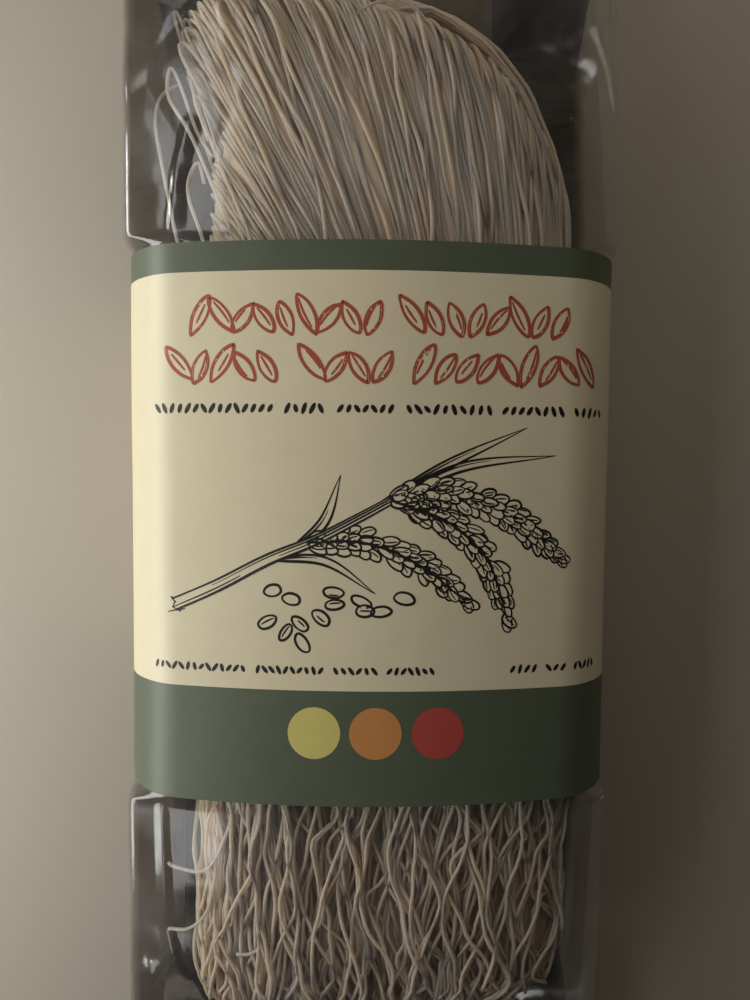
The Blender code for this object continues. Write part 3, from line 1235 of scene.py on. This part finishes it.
def coreStations():
    # where its rings stand, from the tip of the loose end to the tip of the folded one
    stations = []
    halves = ((looseEnd, core["looseSink"], 0.0), (foldedEnd, core["foldedSink"], core["foldedShort"]))
    for end, sink, short in halves:
        flat = end["crest"] - end["bend"] - short
        reaches = list(core["underSleeve"]) + spans(core["rowStart"], flat, core["rowStep"])
        for i in range(1, core["endSteps"]):
            reaches.append(flat + (end["bend"] - sink) * math.sin(math.pi / 2 * i / core["endSteps"]))
        marks = [(end, sink, short, reach) for reach in reaches]
        stations = list(reversed(marks[1:])) if end is looseEnd else stations + marks
    return stations


def coreAcross():
    # the points of a ring, as (share of the half width, side), closer together towards its edges
    across = []
    for count, side in ((core["acrossTop"], 1.0), (core["acrossBack"], -1.0)):
        for i in range(count):
            t = 1.0 - 2.0 * i / count
            across.append((side * mix(t, math.sin(math.pi / 2 * t), 0.6), side))
    return across


def coreRing(end, sink, short, reach, across):
    edge = core["edge"]
    if end is foldedEnd:
        edge = mix(edge, core["foldedEdge"], clamp((reach - 70.0) / 20.0))
    blend = ease((reach - 20.0) / 30.0)
    left = mix(core["left"], between(end["left"], reach), blend) + edge
    right = mix(core["right"], between(end["right"], reach), blend) - edge
    middle, wide = (left + right) / 2, (right - left) / 2
    past = clamp((reach + short - end["crest"] + end["bend"]) / (end["bend"] - sink))
    tall = (end["halfHeight"] - sink) * math.sqrt(1.0 - past * past)
    ring = []
    for share, side in across:
        x = middle + wide * share
        start = combedFrom(x, reach) if end is foldedEnd and side > 0 and reach > 40.0 else x
        rib = core["rib"] * noise.noise(Vector((start / core["ribWidth"], reach / 45.0, side)))
        rib += core["swell"] * noise.noise(Vector((start / core["swellWidth"], reach / 30.0, 5.0)))
        up = side * flatOval(abs(share))
        ring.append((x, reach * end["side"], end["middle"] + (tall + rib) * up))
    return ring


def makeCore():
    # the imported middle of the hank; at the folded end its surface is the starch that joins the threads,
    # at the loose end it is a darker starch tone, painted shade for the deep gaps between the threads
    stations, across = coreStations(), coreAcross()
    around = len(across)
    points, faces, kinds = [], [], []
    for station in stations:
        points += coreRing(*station, across)
    for row, station in enumerate(stations[:-1]):
        faces += ringFaces(row, around, flipped=True)
        kinds += [1 if station[0] is foldedEnd else 0] * around
    faces.append(tuple(range(around)))
    faces.append(tuple(reversed(range((len(stations) - 1) * around, len(stations) * around))))
    kinds += [0, 1]
    data = meshFrom("noodleCore", points, faces)
    piece = addPiece("noodleCore", data, [paintedShadeStarch, fusedStarch])
    data.polygons.foreach_set("material_index", kinds)
    return piece


makeStrands()
makeStrays()
makeCore()
print("noodles ready")


# the film of the bag, with the creases of its face
def creaseLift(x, y):
    lift = 0.0
    for start, end, height, leftWide, rightWide in bag["creases"]:
        run = Vector((end[0] - start[0], end[1] - start[1]))
        spot = Vector((x - start[0], y - start[1]))
        share = spot.dot(run) / run.length_squared
        if -0.05 < share < 1.05:
            off = spot - run * share
            wide = leftWide if off.x < 0 else rightWide
            fade = math.sin(math.pi * clamp((share + 0.05) / 1.1)) ** 0.4
            lift = max(lift, height * clamp(1.0 - off.length / wide) * fade)
    return lift


def blisterLift(x, y):
    lift = 0.0
    for (atX, atY), radius, height in bag["blisters"]:
        off = math.hypot(x - atX, (y - atY) * 0.7) / radius
        if off < 1.0:
            lift += height * 0.5 * (1.0 + math.cos(math.pi * off))
    return lift


def filmFold(x, y, z):
    # flat facets with sharp valleys between them, deeper towards the seals
    slack = clamp((abs(y) - bag["crumpleStart"]) / bag["crumpleGrow"])
    slack *= clamp((bag["crumpleEnd"] - abs(y)) / bag["crumpleFade"])
    across, along = bag["facet"]
    distances, _ = noise.voronoi(Vector((x / across, y / along, z / across)))
    valley = 1.0 - clamp((distances[1] - distances[0]) * 2.2)
    soft = noise.noise(Vector((x / 9.0, y / 26.0, z / 9.0)))
    return -bag["crumple"] * slack * valley + bag["ripple"] * soft * (1.0 - 0.5 * slack)


def bagOutline(y):
    # ring of the bag at y, with the pleats of its sides folded in
    shape = bagShape(y)
    if y > 0:
        pleats = (between(bag["gussetRight"], y), between(bag["gussetLeft"], y))
    else:
        pleats = (between(bag["gussetLoose"], -y), between(bag["gussetLoose"], -y))
    right = halfOutline(dict(shape, tuck=pleats[0]), bag["steps"])
    left = halfOutline(dict(shape, tuck=pleats[1]), bag["steps"])
    return right + [(-x, z) for x, z in reversed(left[1:-1])]


def paintedShadeShare(i, around, inside):
    # how much painted shade darkens the film: 0 where it is single and 1 well inside the outer folds
    steps = bag["steps"]
    fromBottom = min(i, around - i)
    if fromBottom < steps["under"] + steps["heel"]:
        return bag["underPaintedShade"]
    if fromBottom < steps["under"] + steps["heel"] + steps["side"]:
        return clamp(inside + 0.5)
    return 0.0


def filmRing(y):
    # the film's points at y, and how much painted shade darkens it at each
    shape = bagShape(y)
    outline = bagOutline(y)
    sealed = clamp(abs(y) - bag["sealStart"])
    wave = 2 * math.pi * (abs(y) - bag["sealStart"]) / bag["crimpPitch"]
    crimp = bag["crimpHeight"] * math.sin(wave) * sealed
    bare = clamp((abs(y) - sleeveHigh.y) / bag["bareOver"])
    slack = bare * (1.0 - ease((abs(y) - bag["creaseEnd"]) / bag["creaseFade"]))
    ridge = between(bag["ridge"], y)
    ridgeHigh = shape["high"] - shape["crown"] * (ridge / shape["halfWidth"]) ** 2
    points, plies = [], []
    for i, (x, z) in enumerate(outline):
        outX, outZ = x / bagHigh.x, (z - bag["sealHeight"]) / bag["halfHeight"]
        length = max(math.hypot(outX ** 3, outZ ** 3), 0.05)
        push = filmFold(x, y, z) * bare * (1.0 - sealed) if z > 2.0 else 0.0
        isFace = z > bag["sealHeight"] + bag["faceStart"]
        lift = (creaseLift(x, y) + blisterLift(x, y)) * slack if isFace else 0.0
        if x > ridge and isFace:
            z = mix(z, min(z, ridgeHigh - (x - ridge) * bag["ridgeSlope"]), slack)
        points.append((x + 0.3 * push * outX ** 3 / length, y,
                       z + push * outZ ** 3 / length + lift + crimp))
        limit = ridge if x > 0 else shape["halfWidth"] - bag["foldStrip"]
        plies.append(paintedShadeShare(i, len(outline), limit - abs(x)))
    return points, plies


def makeFilmBag():
    # fine rows where the film shows, and a few under the sleeve
    hidden = sleeveHigh.y - bag["tuckedRows"]
    half = spans(hidden, bag["sealStart"], bag["filmRow"])
    half += spans(bag["sealStart"], bagHigh.y, bag["sealRow"])[1:]
    rows = [-y for y in reversed(half)] + spans(-hidden, hidden, 8.0)[1:-1] + half
    points, plies, faces, kinds = [], [], [], []
    for y in rows:
        ring, shadeShares = filmRing(y)
        points += ring
        plies += shadeShares
    around = len(ring)
    for row in range(len(rows) - 1):
        isSeal = abs(rows[row] + rows[row + 1]) / 2 > bag["sealStart"]
        faces += ringFaces(row, around)
        kinds += [1 if isSeal else 0] * around
    faces.append(tuple(reversed(range(around))))
    faces.append(tuple(range((len(rows) - 1) * around, len(rows) * around)))
    kinds += [1, 1]
    data = meshFrom("filmBag", points, faces)
    # the share of painted shade at each point, which darkens the film's tint
    data.attributes.new("plies", "FLOAT", "POINT").data.foreach_set("value", plies)
    piece = addPiece("filmBag", data, [bagFilm, sealFilm])
    data.polygons.foreach_set("material_index", kinds)
    data.set_sharp_from_angle(angle=math.radians(50))
    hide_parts("film_bag")
    return piece


makeFilmBag()
print("film bag ready")


# floor, light and camera
studio = dict(
    floorTone="#a89f91",
    floorOther="#ada496",
    floorSize=1600.0,
    air="#fff2ea",
    airStrength=0.012,
    panels=dict(
        leftPanel=dict(at=(-210.0, -10.0, 92.0), aim=(0.0, -5.0, 25.0), size=(300.0, 80.0), watts=0.42,
                       tone="#fefff8"),
        # mirrored off keeps it out of the film, which would hide the noodles
        topPanel=dict(at=(70.0, 430.0, 250.0), aim=(10.0, 20.0, 0.0), size=(500.0, 340.0), watts=0.78,
                      tone="#fff6e6", mirrored=False),
        windowPanel=dict(at=(-213.0, -5.0, 249.0), aim=(-36.0, -5.0, 38.0), size=(460.0, 62.0),
                         watts=0.22, tone="#f4f4f3"),
        smallLamp=dict(at=(-246.0, 133.0, 98.0), aim=(-36.0, 60.0, 38.0), size=(60.0, 30.0), watts=0.06,
                       tone="#f4f7ff"),
        lowLamp=dict(at=(-236.0, -150.0, 222.0), aim=(-42.0, -85.0, 38.0), size=(34.0, 34.0), watts=0.04,
                     tone="#f6f8ff"),
    ),
)
shot = dict(at=(-0.9, 12.0, 178.1), turn=(-2.965, -0.69, 0.512), lens=26.64, filmSide=36.0)


def makeFloor():
    half = studio["floorSize"] / 2
    corners = [(-half, -half, 0.0), (half, -half, 0.0), (half, half, 0.0), (-half, half, 0.0)]
    data = meshFrom("studioFloor", corners, [(0, 1, 2, 3)], smooth=False)
    material, tree = newMaterial("mattePaintedBoard")
    place = addNode(tree, "ShaderNodeTexCoord").outputs["Object"]
    cloud = addNode(tree, "ShaderNodeTexNoise", {"Vector": place, "Scale": perMetre(60.0), "Detail": 4.0})
    tint = addNode(tree, "ShaderNodeMix", {"Factor": cloud.outputs["Fac"], "A": tone(studio["floorTone"]),
                                           "B": tone(studio["floorOther"])}, data_type="RGBA")
    shader = addNode(tree, "ShaderNodeBsdfPrincipled", {"Base Color": tint.outputs["Result"],
                                                        "Roughness": 0.7})
    finishMaterial(tree, shader.outputs["BSDF"])
    data.materials.append(material)
    floor = bpy.data.objects.new("studioFloor", data)
    bpy.context.scene.collection.objects.link(floor)


def addPanel(name, panel):
    lamp = bpy.data.lights.new(name, "AREA")
    lamp.shape = "RECTANGLE"
    lamp.size, lamp.size_y = [side * mm for side in panel["size"]]
    lamp.energy = panel["watts"]
    lamp.color = tone(panel["tone"])[:3]
    holder = bpy.data.objects.new(name, lamp)
    holder.location = Vector(panel["at"]) * mm
    away = Vector(panel["at"]) - Vector(panel["aim"])
    holder.rotation_euler = away.to_track_quat("Z", "Y").to_euler()
    holder.visible_camera = False
    holder.visible_glossy = panel.get("mirrored", True)
    bpy.context.scene.collection.objects.link(holder)


def makeAir():
    world = bpy.data.worlds.new("studioAir")
    world.use_nodes = True
    sky = world.node_tree.nodes["Background"]
    sky.inputs["Color"].default_value = tone(studio["air"])
    sky.inputs["Strength"].default_value = studio["airStrength"]
    bpy.context.scene.world = world


def makeCamera():
    eye = bpy.data.cameras.new("packCamera")
    eye.lens = shot["lens"]
    eye.sensor_width = shot["filmSide"]
    eye.clip_start = 1.0 * mm
    holder = bpy.data.objects.new("packCamera", eye)
    holder.location = Vector(shot["at"]) * mm
    holder.rotation_euler = Euler([math.radians(angle) for angle in shot["turn"]], "XYZ")
    bpy.context.scene.collection.objects.link(holder)
    bpy.context.scene.camera = holder


makeFloor()
for panelName, panel in studio["panels"].items():
    addPanel(panelName, panel)
makeAir()
makeCamera()
bpy.context.scene.view_settings.view_transform = "Standard"
print("studio ready")
